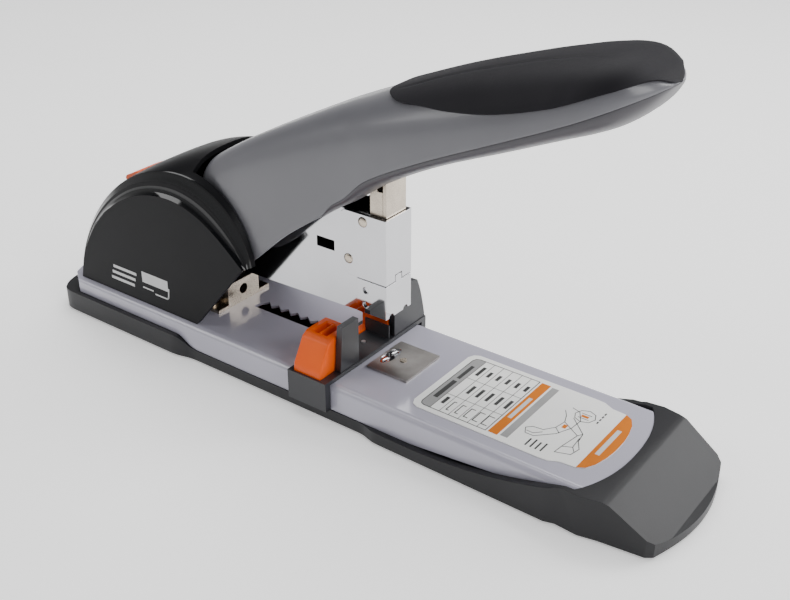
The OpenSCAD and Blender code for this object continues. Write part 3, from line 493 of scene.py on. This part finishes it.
def makeCover():
    cfg = coverSettings
    cheek, rim, crown = coverLine(cfg["cheek"]), coverLine(cfg["rim"]), coverLine(cfg["crown"])
    levels = [(between(cheek, rim, share), half, gloss) for share, half, gloss in cfg["shoulders"]]
    for half in cfg["archWidths"]:
        share = 1 - (half / cfg["crownHalf"]) ** cfg["crownRound"]
        levels.append((between(rim, crown, share), half, 0))
    rows = [[(x, -half, z) for x, z in line] for line, half, gloss in levels]
    glossy = [gloss for line, half, gloss in levels]
    rows += [[(x, half, z) for x, z in line] for line, half, gloss in reversed(levels)]
    count = len(levels)

    def finishOf(i, j):
        k = i if i < count else 2 * count - 2 - i
        return 1 if k < count - 1 and glossy[k] else 0

    # the glossy shoulders get the polished ABS, darkened in its base colour as painted shade
    cover = sheetFrom("coverMoulding", rows, finishOf, ["coverAbs", "coverGlossPaintedShade"])
    # flat cheeks
    form = bmesh.new()
    form.from_mesh(cover.data)
    for side in (-1, 1):
        y = side * cfg["cheekHalf"] * mm
        edge = sorted([v for v in form.verts if abs(v.co.y - y) < 1e-6], key=lambda v: v.co.x)
        foot = form.verts.new((cfg["foot"][0] * mm, y, cfg["foot"][1] * mm))
        face = form.faces.new(edge + [foot])
        face.material_index = 0
    bmesh.ops.recalc_face_normals(form, faces=form.faces)
    form.to_mesh(cover.data)
    form.free()
    applyModifier(cover, "SOLIDIFY", thickness=cfg["wall"] * mm, offset=-1.0)
    cutAway(cover, cutter("notchCutter", cfg["notchLow"], cfg["notchHigh"], cfg["notchCorner"]))
    tool = cutter("buttonCutter", [-c for c in cfg["holeSize"]], cfg["holeSize"], cfg["holeCorner"])
    tool.rotation_euler = (0, -math.radians(cfg["holeTilt"]), 0)
    tool.location = [c * mm for c in cfg["holeAt"]]
    bpy.context.view_layer.update()
    cutAway(cover, tool)
    applyModifier(cover, "BEVEL", width=cfg["edge"] * mm, segments=2, limit_method="ANGLE",
            angle_limit=math.radians(60))
    settle(cover, "base", ["rear_cover"], 17)


makeCover()
print("cover made")

# moulded and pressed parts keep the CAD shape, with their edges broken
softened = [
    ("base_tray", "base_plastic", 0.9, 3, 24), ("deck_plate", "deck_paint", 0.25, 2, 40),
    ("pivot_frame", "nickel", 0.25, 2, 35), ("release_button", "orange_plastic", 0.6, 3, 40),
    ("magazine_body", "chrome", 0.2, 2, 35), ("front_cover", "chrome", 0.3, 2, 35),
     ("track_nose", "chrome", 0.3, 2, 35),
    ("driver_block", "nickel", 0.4, 2, 35), ("driver_blade", "nickel", 0.15, 2, 35),
     ("paper_guide", "guide_plastic", 0.5, 3, 30),
    ("guide_latch_near", "orange_plastic", 0.9, 3, 30), ("guide_latch_far", "orange_plastic", 0.9, 3, 30),
    ("handle_lever", "steel", 0.3, 2, 35), ("staple_track", "chrome", 0.15, 1, 35),
]
for node, slot, width, segments, angle in softened:
    soften(node, slot, width, segments, angle)
print("edges broken")

# label: a film with a stepped front, and the inks printed on it
labelSettings = {
    "top": 17.8, "thick": 0.3,
    "side": [(44, 0), (44, 18.8), (45.2, 21.4), (47.6, 22.6), (101, 22.6), (104.4, 22.3), (106.6, 21.2),
             (108.6, 20.3), (112, 20.1), (114.4, 19.9), (117.4, 18.2), (119.4, 14.5), (120.8, 9), (121.4, 4),
             (121.5, 0)],
    "frame": [(47, 17.6), (47.6, 19.3), (49.2, 20), (77, 20)],
    "rows": (52, 56.2, 60.4, 64.7, 69, 73.2, 77), "columns": (-8.2, 5.6),
    "amberBar": (78, 82), "greyBar": (82.9, 86), "amberFront": 114.4,
}
# outline of the small drawing: handle, mouth, magazine and base of the tool, and a round inset
drawing = [
    [(88, -9.5), (89.5, -12.5), (93, -12.5), (99, -6.5), (102, 0), (102.5, 6), (99.5, 11), (96, 12)],
    [(88, -9.5), (90, -7.5), (94, -7), (97, -3), (98, 2), (96.5, 6)],
    [(89.3, -11), (92, -11), (94.5, -8.5)],
    [(97, -3), (99.8, -5.5)], [(98, 2), (106, -3), (107.2, -1), (99.5, 6.2)], [(96.5, 6), (94.5, 9)],
    [(104, -16.5), (109.5, -14.5), (110.5, -10), (108, -6), (107.2, -1)], [(104, -16.5), (104.5, -12), (106, -3)],
    [(104.5, -12), (108, -10.2), (109.8, -12.5)], [(108, -10.2), (107.4, -4)],
    [(98.4, 9.5), (99.6, 12.4), (102.5, 13.8), (105.4, 12.6), (106.6, 9.7), (105.4, 6.8), (102.5, 5.6),
     (99.6, 6.8), (98.4, 9.5)],
    [(100.4, 8), (104.6, 8)], [(100.4, 11), (104.6, 11)],
]


inkLevels = (0.03, 0.0, 0.015, 0.045)  # how far each ink stands above the one below


# flat inked shapes given as outlines, each with its ink
def inkSheet(name, parts, names, place, thick, body, nodes=()):
    mesh = bpy.data.meshes.new(name)
    points, faces, inks = [], [], []
    for outline, ink in parts:
        faces.append(list(range(len(points), len(points) + len(outline))))
        points += [[c * mm for c in place(*p, inkLevels[ink])] for p in outline]
        inks.append(ink)
    mesh.from_pydata(points, [], faces)
    for n in names:
        mesh.materials.append(finishes[n])
    for face, ink in zip(mesh.polygons, inks):
        face.material_index = ink
    obj = bpy.data.objects.new(name, mesh)
    bpy.context.scene.collection.objects.link(obj)
    applyModifier(obj, "SOLIDIFY", thickness=thick * mm, offset=-1.0)
    settle(obj, body, nodes)


def stroke(line, wide):  # a line as a row of narrow bars
    bars = []
    for a, b in zip(line, line[1:]):
        along = (Vector(b) - Vector(a)).normalized() * wide / 2
        side = Vector((-along.y, along.x))
        a2, b2 = Vector(a) - along * 0.6, Vector(b) + along * 0.6
        bars.append([tuple(a2 - side), tuple(b2 - side), tuple(b2 + side), tuple(a2 + side)])
    return bars


def bar(x0, y0, x1, y1):
    return [(x0, y0), (x1, y0), (x1, y1), (x0, y1)]


def makeLabel():
    cfg = labelSettings
    top = cfg["top"]
    outline = cfg["side"] + [(x, -y) for x, y in reversed(cfg["side"][:-1])][:-1]
    inkSheet("labelSheet", [(list(reversed(outline)), 0)], ["labelFilm"], lambda x, y, rise: (x, y, top),
            cfg["thick"], "base", ["label_plate"])
    near, rows = -cfg["frame"][-1][1], cfg["rows"]
    parts = []
    header = cfg["frame"][:3] + [(rows[0], 20), (rows[0], -20)] + [(x, -y) for x, y in reversed(cfg["frame"][:3])]
    parts.append((list(reversed(header)), 1))
    edge = cfg["frame"] + [(x, -y) for x, y in reversed(cfg["frame"])] + [cfg["frame"][0]]
    parts += [(q, 0) for q in stroke(edge, 0.35)]
    for x in rows[:-1]:
        parts += [(q, 0) for q in stroke([(x, near), (x, -near)], 0.22)]
    for y in cfg["columns"]:
        parts += [(q, 0) for q in stroke([(rows[0], y), (rows[-1], y)], 0.22)]
    parts.append((bar(48.6, -13, 50.6, 1), 0))  # bar in the place of a title
    parts += [(bar(48.8, 3, 50.4, 14), 0), (bar(53.4, -15, 54.9, -10), 0), (bar(53.4, 9, 54.9, 16), 0)]
    for k, x in enumerate(rows[1:-1]):
        leg = 1.0 + 0.35 * k
        hook = [(x + 2.6, -17.5), (x + 2.6 - leg, -17.5), (x + 2.6 - leg, -11.5), (x + 2.6, -11.5)]
        parts += [(q, 0) for q in stroke(hook, 0.45)]
        parts += [(bar(x + 1.4, -4, x + 2.8, 2.2), 0), (bar(x + 1.4, 10.5, x + 2.8, 14.5), 0)]
    parts += [(bar(cfg["amberBar"][0], near, cfg["amberBar"][1], -near), 2),
            (bar(cfg["greyBar"][0], near + 0.6, cfg["greyBar"][1], -near - 0.6), 1)]
    parts += [(bar(79.2, -8, 80.8, 8), 3)]
    tip = [p for p in cfg["side"] if p[0] > cfg["amberFront"]]
    mirrored = [(x, -y) for x, y in reversed(tip[:-1])]
    front = [(cfg["amberFront"] + 0.1, 19.9)] + tip + mirrored + [(cfg["amberFront"] + 0.1, -19.9)]
    parts.append((list(reversed(front)), 2))
    parts.append((bar(116.2, -9, 118, 9), 3))
    for line in drawing:
        parts += [(q, 0) for q in stroke(line, 0.3)]
    parts += [(bar(101, 8.8, 104, 10.2), 2), (bar(98.6, -1.8, 100.2, 0.6), 2)]
    for k in range(4):
        parts += [(bar(93 + 2.1 * k, -19.2, 93.7 + 2.1 * k, -14.4 + 0.6 * (k % 2)), 0),
                (bar(107.8 + 0.01 * k, 8 + 2.2 * k, 108.4, 9.4 + 2.2 * k), 0)]
    inkSheet("labelPrint", parts, ["inkDark", "inkGrey", "inkAmber", "inkPale"],
             lambda x, y, rise: (x, y, top + 0.03 + rise), 0.025, "base")


makeLabel()

# pictogram on the near cheek: a stack of sheets, a plate and a bracket
cheekMarks = [(bar(-117.5, 23.6, -102.5, 25), 0), (bar(-116.5, 26.6, -101.5, 28), 0),
              (bar(-115.5, 29.6, -100.5, 31), 0), (bar(-96.8, 28, -80.6, 33.2), 0)]
for line in ([(-89, 24.2), (-81.6, 24.2)], [(-81.6, 24.2), (-80.8, 25), (-80.2, 29.4)],
        [(-96.6, 25.4), (-90.4, 25.4)]):
    cheekMarks += [(q, 0) for q in stroke(line, 0.7)]
inkSheet("cheekPrint", cheekMarks, ["inkPale"], lambda x, z, rise: (x, -28.03 - rise, z), 0.025, "base")

# anvil: satin plate with a sunk oval that holds the two clinch grooves
anvilSettings = {"low": (15.2, -11.7, 17.5), "high": (34.8, 11.7, 18.5), "corner": 2.0, "ovalX": 18.6,
                 "oval": (5.4, 13.0), "ovalDeep": 0.9, "grooveY": 3.1, "grooveZ": 18.25,
                 "groove": (2.4, 5.4, 1.1), "screwX": 25, "screwHole": 1.5, "edge": 0.18}


def makeAnvil():
    cfg = anvilSettings
    plate = cutter("anvilPlate", cfg["low"], cfg["high"], cfg["corner"])
    plate.data.materials.clear()
    plate.data.materials.append(finishes["satinPlate"])
    plate.data.materials.append(finishes["chromePlate"])
    bpy.ops.object.select_all(action="DESELECT")
    bpy.ops.mesh.primitive_cylinder_add(vertices=48, radius=0.5, depth=cfg["ovalDeep"] * mm,
            location=(cfg["ovalX"] * mm, 0, cfg["high"][2] * mm))
    sink = bpy.context.object
    sink.scale = (cfg["oval"][0] * mm, cfg["oval"][1] * mm, 1.0)
    bpy.ops.object.transform_apply(location=True, rotation=True, scale=True)
    cutAway(plate, sink)
    for side in (-1, 1):
        bpy.ops.object.select_all(action="DESELECT")
        spot = (cfg["ovalX"] * mm, side * cfg["grooveY"] * mm, cfg["grooveZ"] * mm)
        bpy.ops.mesh.primitive_uv_sphere_add(segments=24, ring_count=16, radius=0.5, location=spot)
        dent = bpy.context.object
        dent.scale = [c * mm for c in cfg["groove"]]
        bpy.ops.object.transform_apply(location=True, rotation=True, scale=True)
        cutAway(plate, dent)
    bpy.ops.object.select_all(action="DESELECT")
    spot = (cfg["screwX"] * mm, 0, 18 * mm)
    bpy.ops.mesh.primitive_cylinder_add(vertices=32, radius=cfg["screwHole"] * mm, depth=4 * mm, location=spot)
    cutAway(plate, bpy.context.object)
    applyModifier(plate, "BEVEL", width=cfg["edge"] * mm, segments=2, limit_method="ANGLE",
            angle_limit=math.radians(40))
    for face in plate.data.polygons:
        c = face.center / mm
        if abs(c.x - cfg["ovalX"]) < 2.8 and abs(c.y) < 6.6 and 17.55 < c.z < 18.3:
            face.material_index = 1  # the sunk oval and its grooves are bright
    settle(plate, "base", ["anvil_plate"], 50, True)


makeAnvil()

# domed heads of the cover's rivets
rivetSettings = {"places": [(11.5, 79.5), (4.2, 62.0)], "face": 8.25, "radius": 2.15, "rise": 0.68}


def makeRivets():
    cfg = rivetSettings
    heads = []
    for x, z in cfg["places"]:
        for side in (-1, 1):
            bpy.ops.object.select_all(action="DESELECT")
            bpy.ops.mesh.primitive_uv_sphere_add(segments=32, ring_count=16, radius=1.0,
                    location=(x * mm, side * cfg["face"] * mm, z * mm))
            head = bpy.context.object
            head.scale = (cfg["radius"] * mm, cfg["rise"] * mm, cfg["radius"] * mm)
            bpy.ops.object.transform_apply(location=True, rotation=True, scale=True)
            heads.append(head)
    for head in heads:
        head.select_set(True)
    bpy.context.view_layer.objects.active = heads[0]
    bpy.ops.object.join()
    rivets = bpy.context.object
    rivets.name = "coverRivetHeads"
    rivets.data.materials.append(finishes["nickelPlate"])
    settle(rivets, frame["nodes"]["cover_rivets"]["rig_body"], ["cover_rivets"], 60)


makeRivets()
print("label, cheek print and anvil made")


def addFloor():
    bpy.ops.object.select_all(action="DESELECT")
    bpy.ops.mesh.primitive_plane_add(size=12.0, location=(0, 0, 0))
    floor = bpy.context.object
    floor.name = "floor"
    paper = speckled("paperSweep", "#F6F6F6", "#F8F8F8", 200, 4, 0.001, (0.8, 0.9),
            {"Emission Color": hexColour("#FFFFFF"), "Emission Strength": 0.45})
    floor.data.materials.append(paper)
    # room: a pale wall all round, dimmer overhead where the boxes hang
    world = bpy.data.worlds.new("softRoom")
    world.use_nodes = True
    tree = world.node_tree
    place = addNode(tree, "ShaderNodeTexCoord")
    parts = addNode(tree, "ShaderNodeSeparateXYZ", {}, {"Vector": place.outputs["Generated"]})
    glow = addNode(tree, "ShaderNodeMapRange", {"From Min": 0.12, "From Max": 0.4, "To Min": 0.5, "To Max": 0.05},
            {"Value": parts.outputs["Z"]})
    tree.links.new(glow.outputs["Result"], tree.nodes["Background"].inputs["Strength"])
    tree.nodes["Background"].inputs["Color"].default_value = hexColour("#FFFFFF")
    bpy.context.scene.world = world


addFloor()
